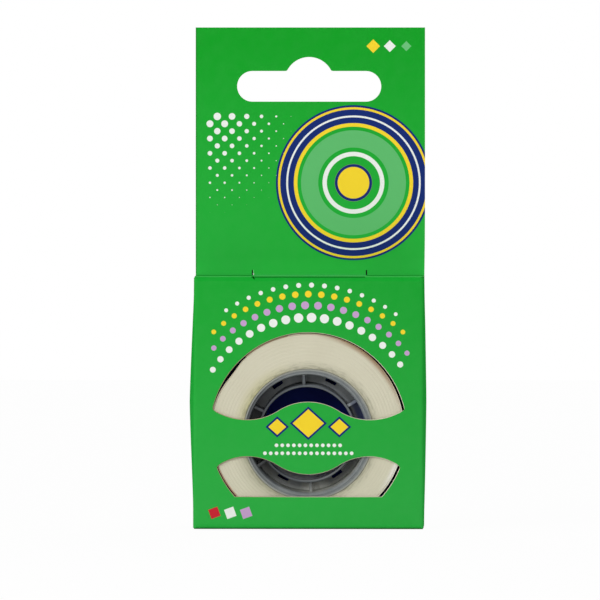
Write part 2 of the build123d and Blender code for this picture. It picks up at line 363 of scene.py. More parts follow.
def plainFinish():
    # plain green sides, lid and flaps, with a column of dots up the left wall; painted shade darkens the
    # base's crease, painted shadow and a painted highlight lie along the lid's front fold, and the lid's
    # crease has a small tear below the left slit, drawn as a painted shadow line
    coat = newFinish("plainPrint")
    x, y, z = coat.split("XYZ")
    up = cells(z, plainPrint["dotPitch"])[0]
    dots = inked(span(y, up) - plainPrint["dotRadius"]) * x.below(plainPrint["wallSkin"] - halfWidth)
    colour = coat.mix(dots * ringed(z, *plainPrint["dotRange"]), greenGround(coat, z, "box"), ink["white"])
    foldEnd = plainPrint["foldDepth"] - halfDepth
    atFold = y.below(foldEnd)
    between = abs(x).below(lipHigh[0])
    crease = ramp(z, plainPrint["creaseTop"], 0)
    # painted shade: darker over the base's crease, which turns away from the light
    colour = coat.mix(crease * crease * atFold * 0.9, colour, ink["dark"])
    fold = inked(lidTop - plainPrint["foldDrop"] - z) * atFold
    crest = inked(lidTop - plainPrint["crestDrop"] - z) * atFold * (1 - between)
    level = z.above(lidTop - plainPrint["levelDrop"]) * y.above(foldEnd)
    tear = abs(x - plainPrint["tearAt"] - (lidTop - z) * plainPrint["tearSlant"]) - plainPrint["tearHalf"]
    torn = z.above(lidTop - plainPrint["tearDrop"]) * y.below(plainPrint["tearDepth"] - halfDepth)
    colour = coat.over(
        colour, ink,
        # painted shadow in the gap along the lid's front fold between the slits, and a painted highlight on
        # the fold outside them and on the lid's top
        dark=fold * between * 0.42,
        crest=crest + level * (0.15 + between * 0.85),
        # the tear, drawn as a painted shadow line
        slit=inked(tear) * torn,
    )
    return boardFinish(coat, colour, 0.0)


backPrint = {"half": (18.0, 16.0), "level": 36.0, "corner": 4.0, "outline": (0.9, 1.5)}


def backFinish():
    # green with one bare white panel, a box with rounded corners, for a shop's own label
    coat = newFinish("backPrint")
    x, z = coat.split("XZ")
    across = (abs(x) - backPrint["half"][0]).most(0)
    up = (abs(z - backPrint["level"]) - backPrint["half"][1]).most(0)
    panel = span(across, up) - backPrint["corner"]
    colour = greenGround(coat, z, "header")
    colour = coat.over(colour, ink, white=inked(panel), navy=ringed(panel, *backPrint["outline"]))
    return boardFinish(coat, colour)


def insideFinish():
    # the dark blue inside of the carton, with a fibrous tint; green at the upper ends of the side walls
    coat = newFinish("insidePrint")
    x, z = coat.split("XZ")
    fibre = coat.noise(coat.stretched(board["fibre"]), 1.8, 4.0)
    wallEnd = abs(x).above(halfWidth - board["cornerWidth"]) * z.above(lidTop - board["cornerDrop"])
    colour = coat.over(ink["inside"], ink, deepInside=fibre * 0.5, boxFoot=wallEnd)
    return coat.surface(colour, 0.5 + fibre * 0.15, 0.2, fibre, 0.12)


# the brown tone is painted shade on the cut edges towards the left
pulp = tones(pale=(236, 231, 218), dusky=(206, 192, 168), brown=(158, 118, 84))
rawEdge = {
    "browning": (20, -30), "rearSkin": 0.3, "foldDepth": 1.5, "lidRise": 0.1, "footMargin": 0.3,
    "lipMargin": 0.5, "slitWidth": 0.2,
}


def cutFinish():
    # the cut edge of the board: pale pulp, with painted shade turning it brown towards the left, whose edges
    # face away from the light; folded corners, the right rear edge and the edge above the lip are green, and
    # painted shadow darkens the slits beside the lip
    coat = newFinish("boardCut")
    x, y, z = coat.split("XYZ")
    grain = coat.noise(coat.place(), 5.0, 3.0)
    rear = x.above(halfWidth - rawEdge["rearSkin"]) * y.above(0) * z.below(lidTop)
    frontFold = y.below(rawEdge["foldDepth"] - halfDepth)
    lidFold = z.above(lidTop - board["cornerDrop"]) * z.below(lidTop + rawEdge["lidRise"])
    corner = abs(x).above(halfWidth - board["cornerWidth"]) * frontFold.most(lidFold)
    beside = ringed(z, lidTop - rawEdge["footMargin"], lipHigh[2] + rawEdge["footMargin"])
    foot = y.above(0) * beside * abs(x).below(lipHigh[0] + rawEdge["lipMargin"])
    # painted shade: the cut edge turns brown towards the left, facing away from the light
    colour = coat.over(pulp["pale"], pulp, dusky=grain, brown=ramp(x, *rawEdge["browning"]) * 0.8)
    colour = coat.over(
        colour, ink,
        boxFoot=rear.most(corner),
        headerFoot=foot,
        # painted shadow in the slits beside the lip
        slit=foot * abs(x).above(lipHigh[0] - rawEdge["slitWidth"]),
    )
    return coat.surface(colour, 0.8 + grain * 0.1, 0.15, grain, 0.2, 0.00005)


# shade and the brown tone of the last layers are painted shade, the pale tone of the last layers a painted
# highlight
woundTones = tones(
    film=(214, 209, 187), layer=(207, 202, 179), cloud=(197, 191, 167), grey=(150, 148, 124),
    yellowed=(200, 194, 92), dirt=(112, 110, 92), shade=(140, 138, 114), stained=(158, 130, 100),
    bleached=(240, 238, 232), speck=(150, 142, 118),
)
# reaches of the tape's grime and of its painted shade and highlight
grime = {
    "grey": (3.2, 0), "shade": (4.5, 0),                 # distances from the core,
    "stain": (-1.1, -0.3), "bleach": (-1.3, -0.3),       # and from the outer edge
    "stainAt": (0.85, 1.5, 2.4), "bleachAt": (-0.28, 1.4, 3.2),      # bells of the angle in radians
    "lowLeft": ((0, -12), (0, -12)), "upperLeft": ((-4, -14), (0, 6)),       # across and up from the axis
}


def tapeFinish():
    # fine rings of wound film by distance from the core's axis; towards the core they turn grey and dirty,
    # with painted shade at the lower left, and painted shade browns the last layers at the upper right while
    # a painted highlight pales them at the right
    coat = newFinish("woundFilm")
    x, y, z = coat.split("XYZ")
    radius = farFrom(x, z, (coreX, coreZ))
    bearing = bearingFrom(x, z, (coreX, coreZ))
    outside = farFrom(x, z, (rollX, rollZ)) - woundOuter
    turned = bearingFrom(x, z, (rollX, rollZ))
    layers = {"W": radius, "Scale": 3.2, "Detail": 5.0}
    rings = coat.node("ShaderNodeTexNoise", {"noise_dimensions": "1D"}, layers)
    inner = ramp(radius - coreOuter, *grime["grey"])
    streaks = coat.node("ShaderNodeCombineXYZ", {}, [radius * 2.0, bearing * 7, y * 0.1])
    dirt = coat.noise(streaks, 1.0, 3.0, Roughness=0.65) - 0.62 + inner * 0.25
    lowLeft, upperLeft = [ramp(x - coreX, *across) * ramp(z - coreZ, *up)
                          for across, up in (grime["lowLeft"], grime["upperLeft"])]
    colour = coat.over(
        woundTones["film"], woundTones,
        layer=rings,
        cloud=(coat.noise(coat.place(), 0.10, 2.0) - 0.42).clamp() * 0.8,
        grey=inner * inner * 0.6,
        yellowed=inner * upperLeft * 0.3,
        dirt=(dirt * 4).clamp() * inner * 0.6,
        # painted shade on the tape near the core at the lower left
        shade=ramp(radius - coreOuter, *grime["shade"]) * lowLeft * 0.4,
        # painted shade: the last layers brown at the upper right
        stained=ramp(outside, *grime["stain"]) * bell(turned, *grime["stainAt"]) * 0.8,
        # painted highlight: the last layers pale at the right
        bleached=ramp(outside, *grime["bleach"]) * bell(turned, *grime["bleachAt"]) * 0.8,
        speck=((coat.noise(coat.place(), 1.6, 1.0) - 0.73) * 6).clamp() * 0.45,
    )
    return coat.surface(colour, 0.55 + rings * 0.15, 0.2, rings, 0.12)


filmTones = tones(
    tan=(214, 180, 148), haze=(196, 160, 126), edge=(206, 194, 170), brown=(156, 126, 94),
    white=(236, 234, 226), rust=(182, 142, 118),
)
# painted shade and a painted highlight on the cut edge, bells of the angle: middle in radians, top, slope
filmEdge = {"brown": (1.0, 1.4, 2.2), "white": (-0.25, 1.3, 2.0), "rust": (-2.55, 1.2, 2.5)}
filmEdgeDepth = 0.07


def filmFinish():
    # the matt outer face of the film: tan, frosted, with faint lines along the winding; its cut edge is
    # paler, with a painted highlight white at the right and painted shade brown at the upper right and lower
    # left
    coat = newFinish("mattFilm")
    x, y, z = coat.split("XYZ")
    haze = coat.noise(coat.stretched((1.0, 3.0, 1.0)), 0.9, 3.0)
    turned = bearingFrom(x, z, (rollX, rollZ))
    marks = {name: bell(turned, *shape) for name, shape in filmEdge.items()}
    edge = coat.over(filmTones["edge"], filmTones, **marks)
    face = coat.mix(haze, filmTones["tan"], filmTones["haze"])
    colour = coat.mix(abs(y - rollY).above(rollHalf - filmEdgeDepth), face, edge)
    return coat.surface(colour, 0.5 + haze * 0.15, 0.3, haze, 0.15)


tabTones = tones(wax=(186, 158, 128), fibre=(164, 134, 106))


def tabFinish():
    # waxed paper of the starter tab, warm grey with fine fibres
    coat = newFinish("tabPaper")
    fibre = coat.noise(coat.place(), 3.0, 4.0)
    colour = coat.mix(fibre, tabTones["wax"], tabTones["fibre"])
    return coat.surface(colour, 0.6 + fibre * 0.15, 0.25, fibre, 0.15)


core = {
    "rimInner": 16.3, "bore": 12.85, "boreBack": 12.25, "boreOuter": 13.5, "boreHalf": 8.5, "boreBevel": 0.12,
    "ribs": 6, "ribAngle": 33.6, "ribThick": 0.8, "ribHalf": 7.4, "ribEdge": 0.12, "webHalf": 0.5,
    "slotLength": 3.2, "slotWidth": 1.1, "slotAt": 14.85,
    "ribSpan": (13.15, 16.8), "webSpan": (13.2, 16.7),   # both reach into the bore ring and the rim
    "off": (-0.34, 0.14),                    # the inside's shift in x and z at the front,
    "lean": (-0.02, 0.12),                   # and for each mm of depth down to the web
}
# several tones are painted light or shade: a highlight on the rim's edge, light on the lower bays, the bore's
# lower wall, the ring's upper side and beside the lowest rib, shade on the upper bays, deep in the lower
# bays, on the ribs and at the left, and a blue cast
coreTones = tones(
    smoke=(128, 132, 132), flow=(98, 104, 108), bloom=(150, 152, 148), worn=(170, 168, 150),
    shade=(58, 64, 70), dusty=(206, 208, 196), bore=(238, 240, 234), rib=(60, 65, 70),
    ringSide=(176, 182, 188), dim=(46, 50, 48), glow=(246, 247, 240), blue=(68, 88, 160),
    mottle=(118, 112, 86), left=(40, 42, 46), leftRib=(30, 32, 34),
)
coreShade = {
    # from which radius to which a tone comes in,
    "dusty": (14.2, 16.5), "ringSide": (14.8, 13.9), "dim": (15.8, 14.6), "cast": (13.9, 14.5),
    # worn gives the radii of the painted highlight on the rim's edge
    "glowInner": (13.2, 15.4), "glowOuter": (16.2, 15.6), "worn": (coreOuter - 0.7, coreOuter - 0.1),
    # from where to where across or up from the axis,
    "low": (0, -8), "right": (6, 12), "lit": (-5, 4), "ribLeft": (0, -8), "ringLit": (-1, 3),
    "left": (-6, -14),
    "glowAt": (-1.45, 1.5, 5), "castAt": (0.2, 1.5, 2.2), "castEnd": 0.64,       # and bells of the angle
    "boreDepth": 5.0, "rimWidth": 0.5, "skin": 0.1, "boreSkin": 0.05,
}


def coreFinish():
    # smoky grey moulding: soft flow marks round the axis, a slight bloom, a painted highlight at the rim's
    # edge, darker ribs with painted shade deeper low down and at the left, painted shade over the upper bays,
    # painted light on the lower bays, the bore's lower wall and the ring's upper side, palest beside the
    # lowest rib, painted shade deep in the lower bays, a painted blue cast in the right bay as far as the rib
    # above it, and painted shade at the left
    coat = newFinish("coreMoulding")
    x, y, z = coat.split("XYZ")
    radius = farFrom(x, z, (coreX, coreZ))
    bearing = bearingFrom(x, z, (coreX, coreZ))
    around = coat.node("ShaderNodeCombineXYZ", {}, [bearing * 9, y * 0.12, 0])
    marks = {"Vector": around, "Scale": 1.0, "Detail": 4.0}
    flow = coat.node("ShaderNodeTexNoise", {"noise_dimensions": "2D"}, marks)
    bloom = coat.noise(coat.place(), 0.5, 3.0)
    across, skin = x - coreX, coreShade["skin"]
    low = ramp(z - coreZ, *coreShade["low"])
    inside = radius.below(core["rimInner"] - skin)
    bay = inside * radius.above(core["boreOuter"] + skin)
    front = y.below(rollY - core["webHalf"] - skin)
    ribFace = inside * y.below(rollY + skin - core["ribHalf"])
    depth = ramp(y - rollY + rollHalf, 0, coreShade["boreDepth"])
    left = ramp(across, *coreShade["left"]) * radius.below(coreOuter - coreShade["rimWidth"])
    bright = bell(bearing, *coreShade["glowAt"])
    bright = bright * ramp(radius, *coreShade["glowInner"]) * ramp(radius, *coreShade["glowOuter"])
    dusting = ramp(radius, *coreShade["dusty"]) * (0.4 + ramp(across, *coreShade["lit"]) * 0.6)
    ringSide = ramp(radius, *coreShade["ringSide"]) * ramp(across, *coreShade["ringLit"])
    cast = bell(bearing, *coreShade["castAt"]) * bearing.below(coreShade["castEnd"])
    colour = coat.over(
        coreTones["smoke"], coreTones,
        flow=flow,
        bloom=(bloom - 0.4).clamp() * 0.7,
        # painted highlight on the rim's outer edge
        worn=ramp(radius, *coreShade["worn"]) * 0.5,
        # painted shade over the upper bays, less towards the right
        shade=inside * front * (1 - low) * (0.6 - ramp(across, *coreShade["right"]) * 0.35),
        # painted light on the lower bays' floor, stronger outward and towards the right
        dusty=inside * low * dusting,
        # painted light on the bore's lower wall, stronger with depth
        bore=radius.below(core["bore"] + coreShade["boreSkin"]) * low * (0.15 + depth * 0.85),
        # the ribs' and bore ring's front faces darker, with painted shade deeper low down and at the left
        rib=ribFace * (0.35 + low * 0.35 + ramp(across, *coreShade["ribLeft"]) * 0.3),
        # painted light on the bore ring's side in the upper half
        ringSide=bay * ringSide * (1 - low) * 0.5,
        # painted shade deep in the lower bays, near the ring
        dim=bay * ramp(radius, *coreShade["dim"]) * low * 0.55,
        # painted light, palest beside the lowest rib
        glow=bay * bright * (1 - ribFace * 0.85) * 0.8,
        # a painted blue cast in the right bay
        blue=bay * cast * ramp(radius, *coreShade["cast"]) * (0.9 - ribFace * 0.7),
        mottle=((coat.noise(coat.place(), 0.8, 3.0) - 0.45) * 4).clamp() * bay * low * 0.3,
        # painted shade at the left
        left=left * (0.75 - low * 0.3),
        leftRib=left * low * ribFace * 0.7,
    )
    return coat.surface(colour, 0.32 + bloom * 0.2, 0.4, flow, 0.1, 0.00005)


glueTones = tones(milky=(222, 208, 168), amber=(196, 176, 128))


def glueFinish():
    # hot glue, milky amber with small bubbles; a CAD piece, so the pattern lies on Object coordinates
    coat = newFinish("seamGlue")
    place = coat.node("ShaderNodeTexCoord", {}, {}, "Object")
    bubbles = coat.noise(place, 900.0, 3.0)
    colour = coat.mix(bubbles, glueTones["milky"], glueTones["amber"])
    return coat.surface(colour, 0.3 + bubbles * 0.2, 0.5, bubbles, 0.2, 0.0001)


finishes = {
    "header": headerFinish(),
    "front": frontFinish(),
    "plain": plainFinish(),
    "back": backFinish(),
    "inside": insideFinish(),
    "cut": cutFinish(),
    "tape": tapeFinish(),
    "film": filmFinish(),
    "tab": tabFinish(),
    "core": coreFinish(),
    "glue": glueFinish(),
}
print("finishes", len(finishes))


def stacked(x, y, z):
    return np.stack(np.broadcast_arrays(x, y, z), -1)


def meshed(x, z):
    return np.stack(np.broadcast_arrays(x[None], z[:, None]), -1)


def uprightAt(flat, y):
    return stacked(flat[..., 0], y, flat[..., 1])


def gridPatch(points, closed=False, slot=0):
    # rows x columns x 3 points; each point is joined to the next along both ways
    rows, columns = points.shape[:2]
    index = np.arange(rows * columns).reshape(rows, columns)
    if closed:
        index = np.hstack([index, index[:, :1]])
    quads = np.stack([index[:-1, :-1], index[:-1, 1:], index[1:, 1:], index[1:, :-1]], -1)
    return points.reshape(-1, 3), quads.reshape(-1, 4), slot


def rays(angles):
    return np.stack([np.cos(angles), np.sin(angles)], -1)


def readAll(items, field, width=1, kind=float):
    values = np.zeros(len(items) * width, kind)
    items.foreach_get(field, values)
    return values


def addObject(name, data):
    thing = bpy.data.objects.new(name, data)
    bpy.context.scene.collection.objects.link(thing)
    return thing


meshing = {"weld": 0.002, "sharpAngle": 38}


def makePiece(name, patches, materials, outward=None):
    # joins patches at the points that they share; an open sheet is turned to face outward
    starts = np.cumsum([0] + [len(patch[0]) for patch in patches[:-1]])
    points = np.vstack([patch[0] for patch in patches])
    quads = np.vstack([patch[1] + start for patch, start in zip(patches, starts)])
    slots = np.concatenate([np.full(len(patch[1]), patch[2]) for patch in patches])
    mesh = bpy.data.meshes.new(name)
    mesh.from_pydata((points * mm).tolist(), [], quads.tolist())
    for material in materials:
        mesh.materials.append(material)
    mesh.polygons.foreach_set("material_index", slots)
    shell = bmesh.new()
    shell.from_mesh(mesh)
    bmesh.ops.remove_doubles(shell, verts=shell.verts, dist=meshing["weld"] * mm)
    bmesh.ops.recalc_face_normals(shell, faces=shell.faces)
    shell.to_mesh(mesh)
    shell.free()
    if outward is not None:
        normals = readAll(mesh.polygons, "normal", 3).reshape(-1, 3)
        if readAll(mesh.polygons, "area") @ normals @ np.array(outward) < 0:
            mesh.flip_normals()
    mesh.shade_smooth()
    mesh.set_sharp_from_angle(angle=math.radians(meshing["sharpAngle"]))
    uses = np.bincount(readAll(mesh.loops, "edge_index", kind=int), minlength=len(mesh.edges))
    sharp = readAll(mesh.edges, "use_edge_sharp", kind=bool) | (uses == 1)       # a sheet's open edges too
    mesh.edges.foreach_set("use_edge_sharp", sharp)
    rest = mesh.attributes.new("restPoint", "FLOAT_VECTOR", "POINT")
    rest.data.foreach_set("vector", readAll(mesh.vertices, "co", 3) / mm)
    print("piece", name, len(mesh.polygons), "faces")
    return addObject(name, mesh)


def boardPiece(name, node, patches, outward, face="plain", behind="inside"):
    # a folded sheet: the patches are its printed face, and Solidify gives it the board's thickness
    piece = makePiece(name, patches, [finishes[face], finishes[behind], finishes["cut"]], outward)
    solid = piece.modifiers.new("boardThickness", "SOLIDIFY")
    solid.thickness = boardThick * mm
    solid.offset = -1
    solid.use_even_offset = True
    solid.material_offset = 1
    solid.material_offset_rim = 2
    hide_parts(node)
    return piece


def rectReach(angles, middle, low, high):
    # how far a ray from the middle goes before it leaves the rectangle
    cosine, sine = np.cos(angles), np.sin(angles)
    across = np.where(cosine > 0, high[0] - middle[0], low[0] - middle[0])
    up = np.where(sine > 0, high[1] - middle[1], low[1] - middle[1])
    with np.errstate(divide="ignore"):
        return np.minimum(np.abs(across / cosine), np.abs(up / sine))


def holedSheet(angles, holeReach, middle, low, high, steps):
    # rings between a hole and a rectangle: each ray's points run evenly from one to the other
    outer = rectReach(angles, middle, low, high)
    share = np.linspace(0, 1, steps)[:, None]
    reach = holeReach + (outer - holeReach) * share
    return middle + reach[..., None] * rays(angles)


def cornerAngles(middle, low, high):
    return [math.atan2(z - middle[1], x - middle[0]) for x in (low[0], high[0]) for z in (low[1], high[1])]


def tidyAngles(*groups):
    # every angle once, from 0 up to a full turn
    angles = np.sort(np.mod(np.concatenate([np.atleast_1d(group) for group in groups]), 2 * math.pi))
    return angles[np.append(np.diff(angles) > 1e-6, True)]


def foldPath(lead, radius, run, turnSteps=8, runSteps=14):
    # straight up by lead, a quarter turn of the given radius, then level by run: (inward, up) pairs
    turn = np.linspace(0, math.pi / 2, turnSteps + 1)
    up = np.column_stack([np.zeros(3), np.linspace(0, lead, 3)])
    bend = np.column_stack([radius - radius * np.cos(turn), lead + radius * np.sin(turn)])[1:]
    level = np.linspace(0, run, runSteps + 1)[1:]
    away = np.column_stack([radius + level, np.full(len(level), lead + radius)])
    return np.vstack([up, bend, away])


def roundedHalf(fromEnd, half, radius):
    # half width of a strip whose end corners are quarter circles
    inset = np.clip(radius - fromEnd, 0, radius)
    return half - radius + np.sqrt(np.maximum(radius ** 2 - inset ** 2, 0))


def arcRadius(reach, rise):
    # radius of the arc that leaves level and rises by rise within reach
    return (reach ** 2 + rise ** 2) / (2 * rise)


folds = {
    "radius": 0.75,                          # outside of a fold
    "wallLow": 1.3,                          # the front wall starts here, above the base's fold
    "wallHigh": lidTop - 1.3,
    "sideLow": 1.5,
    "sideHigh": lidTop - 1.5,
    "corner": 0.3,                           # the front corners stop this far from the lid and the base
    "frontStep": 0.8,                        # a row between a corner's end and the wall, in the front's half
    "sideStep": 0.9,                         # and in the side's half
    "rearGap": 0.02,                         # between a side wall and the rear wall
}
bow = {
    "left": 1.38, "right": 0.6, "front": 0.15, "power": 1.2, "lean": 0.24,
    "tuckAt": (0, 13, 56, lidTop, 82),       # heights,
    "tuck": (0.23, 0.06, 0, 0.16, 0),        # and how far the right rear edge goes in there
}


def bowWalls(points):
    # the side walls swell by a blunt peak in height times a parabola in depth, so not at the front fold or
    # the back; the front wall swells forward by a parabola in width, its upper left leans in, and the right
    # rear edge is tucked in towards the foot and the lid
    x, y, z = points[..., 0], points[..., 1], points[..., 2]
    rise = np.clip((z - folds["sideLow"]) / (folds["sideHigh"] - folds["sideLow"]), 0, 1)
    swell = 1 - np.abs(2 * rise - 1) ** bow["power"]
    depth = np.clip((y + halfDepth) / (2 * halfDepth), 0, 1)
    reach = np.where(x < 0, bow["left"], bow["right"])
    tuck = np.interp(z, bow["tuckAt"], bow["tuck"])
    bowed = points.copy()
    bowed[..., 0] += reach * swell * 4 * depth * (1 - depth) * x / halfWidth
    bowed[..., 0] += bow["lean"] * rise * (1 - depth) * np.clip(-x / halfWidth, 0, 1)
    bowed[..., 0] -= tuck * depth * np.clip(x / halfWidth, 0, 1) ** 8
    bowed[..., 1] -= bow["front"] * swell * np.clip(1 - (x / halfWidth) ** 2, 0, 1) * (1 - depth) ** 4
    return bowed


window = {
    "radius": 27.2, "middle": np.array([0.0, 27.13]), "foot": 9.0,
    "bandMiddle": 25.18, "crest": 10.09, "waist": 5.14, "end": 7.9, "waistAt": 16.8,
    "bevel": 0.15,                           # width and depth of the worn cut edge,
    "fade": 0.02,                            # which dies out over this angle or share where the band joins
}


def bandEdge(x, side, endX):
    # half height of the band: an arc over the middle, an arc under each waist, an arc out to each end
    reach = np.abs(x)
    waist, waistAt = window["waist"], window["waistAt"]
    turnAt = waistAt / 2
    waveRadius = arcRadius(turnAt, (window["crest"] - waist) / 2)
    crest = window["crest"] - waveRadius + np.sqrt(waveRadius ** 2 - np.minimum(reach, turnAt) ** 2)
    trough = waist + waveRadius - np.sqrt(waveRadius ** 2 - np.clip(reach - waistAt, -turnAt, 0) ** 2)
    outRadius = arcRadius(endX - waistAt, window["end"] - waist)
    outward = waist + outRadius - np.sqrt(outRadius ** 2 - np.clip(reach - waistAt, 0, endX - waistAt) ** 2)
    half = np.where(reach < turnAt, crest, np.where(reach < waistAt, trough, outward))
    return window["bandMiddle"] + side * half


def withSink(flat, sink):
    # flat (across, up) points with how far each one lies inward
    return np.concatenate([flat, np.broadcast_to(sink, flat.shape[:-1])[..., None]], -1)


def surroundSheets(low, high, endLow, endUp):
    # rays from the window's middle: its bevelled edge, then the sheet out to the folds; no bevel where
    # the band joins
    middle, radius, fade = window["middle"], window["radius"], window["fade"]
    footDrop = middle[1] - window["foot"]
    join = np.linspace(endLow, endUp, 9)
    near = np.array([endLow - fade, endUp + fade])
    lower = np.linspace(-math.asin(footDrop / radius), endLow, 15)
    upper = np.linspace(endUp, math.pi - endUp, 121)
    footX = np.linspace(-1, 1, 41) * math.sqrt(radius ** 2 - footDrop ** 2)
    angles = tidyAngles(join, math.pi - join, near, math.pi - near, upper, lower, math.pi - lower,
                        np.arctan2(-footDrop, footX), cornerAngles(middle, low, high))
    with np.errstate(divide="ignore"):
        straight = np.where(np.sin(angles) < 0, -footDrop / np.sin(angles), np.inf)
    hole = np.minimum(radius, straight)
    slant = np.arcsin(np.sin(angles))                    # the same on both sides of the window
    beyond = np.maximum(endLow - slant, slant - endUp) / fade
    worn = window["bevel"] * np.where(np.abs(np.cos(angles)) > 0.5, np.clip(beyond, 0, 1), 1.0)
    sheet = holedSheet(angles, hole + worn, middle, low, high, 13)
    rim = middle + hole[:, None] * rays(angles)
    bevel = np.stack([withSink(rim, worn), withSink(sheet[0], 0)])
    return withSink(sheet, 0), bevel


def bandSheets(endLow, endUp):
    # a Coons patch between two wavy edges and two arcs of the round window, with a bevel along both waves
    middle, radius = window["middle"], window["radius"]
    along = np.linspace(0, 1, 97)[:, None]
    across = 2 * along - 1
    lowX, highX = radius * math.cos(endLow), radius * math.cos(endUp)
    lowEdge = np.column_stack([across * lowX, bandEdge(across * lowX, -1, lowX)])
    highEdge = np.column_stack([across * highX, bandEdge(across * highX, 1, highX)])
    worn = window["bevel"] * np.clip(np.minimum(along, 1 - along) / window["fade"], 0, 1)
    inset = worn / (highEdge[:, 1:] - lowEdge[:, 1:])
    rows = np.linspace(0, 1, 9)[None] + 0 * along
    up = np.hstack([rows[:, :1], inset, rows[:, 1:-1], 1 - inset, rows[:, -1:]])
    angle = endLow + (endUp - endLow) * up
    side, rise = across[:, :, None], up[:, :, None]
    arc = np.stack([across * radius * np.cos(angle), radius * np.sin(angle)], -1)
    ruled = (1 - rise) * lowEdge[:, None] + rise * highEdge[:, None]
    lowCorner = np.concatenate([side * lowX, 0 * side + lowEdge[0, 1]], -1)
    highCorner = np.concatenate([side * highX, 0 * side + highEdge[0, 1]], -1)
    flat = ruled + middle + arc - (1 - rise) * lowCorner - rise * highCorner
    sink = np.zeros(up.shape)
    sink[:, [0, -1]] = worn
    sheet = withSink(flat, sink)
    return sheet[:, 1:-1], sheet[:, :2], sheet[:, -2:]


def foldFront(flat):
    # a flat sheet bent round the front folds: past the flat part, distance becomes angle; sink goes inward
    across, z, sink = flat[..., 0], flat[..., 1], flat[..., 2]
    radius = folds["radius"]
    flatHalf = halfWidth - radius
    angle = np.clip((np.abs(across) - flatHalf) / radius, 0, math.pi / 2)
    x = np.sign(across) * (np.minimum(np.abs(across), flatHalf) + radius * np.sin(angle))
    return np.stack([x, -halfDepth + sink + radius * (1 - np.cos(angle)), z], -1)


def frontPatches():
    # the sheet round the windows, the band, the bevels, and on both sides half of the front fold
    flatHalf = halfWidth - folds["radius"]
    low, high = np.array([-flatHalf, folds["wallLow"]]), np.array([flatHalf, folds["wallHigh"]])
    bandLift = window["bandMiddle"] - window["middle"][1]
    endUp = math.asin((bandLift + window["end"]) / window["radius"])
    endLow = math.asin((bandLift - window["end"]) / window["radius"])
    surround, bevel = surroundSheets(low, high, endLow, endUp)
    band, *bandBevels = bandSheets(endLow, endUp)
    flats = [(surround, True, 0), (bevel, True, 2), (band, False, 0)]
    flats += [(strip, False, 2) for strip in bandBevels]
    turn = np.linspace(0, math.pi / 4, 6) * folds["radius"]
    edge = surround[-1]
    ends = np.array([folds["corner"], folds["frontStep"]])
    for side in (-1, 1):
        z = np.sort(edge[np.abs(edge[:, 0] - side * flatHalf) < 1e-6, 1])
        z = np.concatenate([ends, z, lidTop - ends[::-1]])
        flats.append((withSink(meshed(side * (flatHalf + turn), z), 0), False, 0))
    return [gridPatch(bowWalls(foldFront(flat)), closed, slot) for flat, closed, slot in flats]


frontWall = boardPiece("frontWall", "front_panel", frontPatches(), (0, -1, 0), "front")
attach(frontWall, "carton")


def sidePatches(side):
    # half of the front fold, then a flat wall back to the rear wall; the fold runs on to the front corners
    radius = folds["radius"]
    angle = np.linspace(math.pi / 4, math.pi / 2, 6)
    foldX = halfWidth - radius + radius * np.sin(angle)
    foldY = -halfDepth + radius * (1 - np.cos(angle))
    flatY = np.linspace(-halfDepth + radius, backLow[1] - folds["rearGap"], 16)[1:]
    x = side * np.concatenate([foldX, np.full(len(flatY), halfWidth)])
    y = np.concatenate([foldY, flatY])
    z = np.linspace(folds["sideLow"], folds["sideHigh"], 29)
    ends = np.array([folds["corner"], folds["sideStep"]])
    sheets = [(len(x), z), (len(angle), np.append(ends, z[0]))]
    sheets.append((len(angle), np.append(z[-1], lidTop - ends[::-1])))
    return [gridPatch(bowWalls(stacked(x[:columns], y[:columns], rows[:, None]))) for columns, rows in sheets]


for side, name in ((-1, "left"), (1, "right")):
    wall = boardPiece(name + "Wall", name + "_side_panel", sidePatches(side), (side, 0, 0))
    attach(wall, "carton")

hanger = {
    "middle": np.array([-0.33, headerTop - 16.58]), "halfLength": 20.05, "endRadius": 4.255,
    "humpRadius": 6.87, "humpRise": 1.27, "ease": 0.5,
    "top": headerTop - 0.21,                 # the sheet is cut a little short
    "notchSide": 0.04, "notchLift": 0.05,    # room round the lip
}


def hangerReach(angles):
    # ray length to a stadium, and over its middle to a round hump, with an eased join between them
    cosine, sine = np.cos(angles), np.sin(angles)
    endRadius, rise, ease = hanger["endRadius"], hanger["humpRise"], hanger["ease"]
    straight = hanger["halfLength"] - endRadius
    with np.errstate(divide="ignore"):
        toEdge = endRadius / np.abs(sine)
    toEnd = straight * np.abs(cosine) + np.sqrt(np.maximum(endRadius ** 2 - (straight * sine) ** 2, 0))
    stadium = np.where(toEdge * np.abs(cosine) <= straight, toEdge, toEnd)
    hump = rise * sine + np.sqrt(hanger["humpRadius"] ** 2 - (rise * cosine) ** 2)
    hump = np.where(sine > 0, hump, 0)
    blend = np.clip(0.5 + (hump - stadium) / (2 * ease), 0, 1)
    return stadium + (hump - stadium) * blend + ease * blend * (1 - blend)


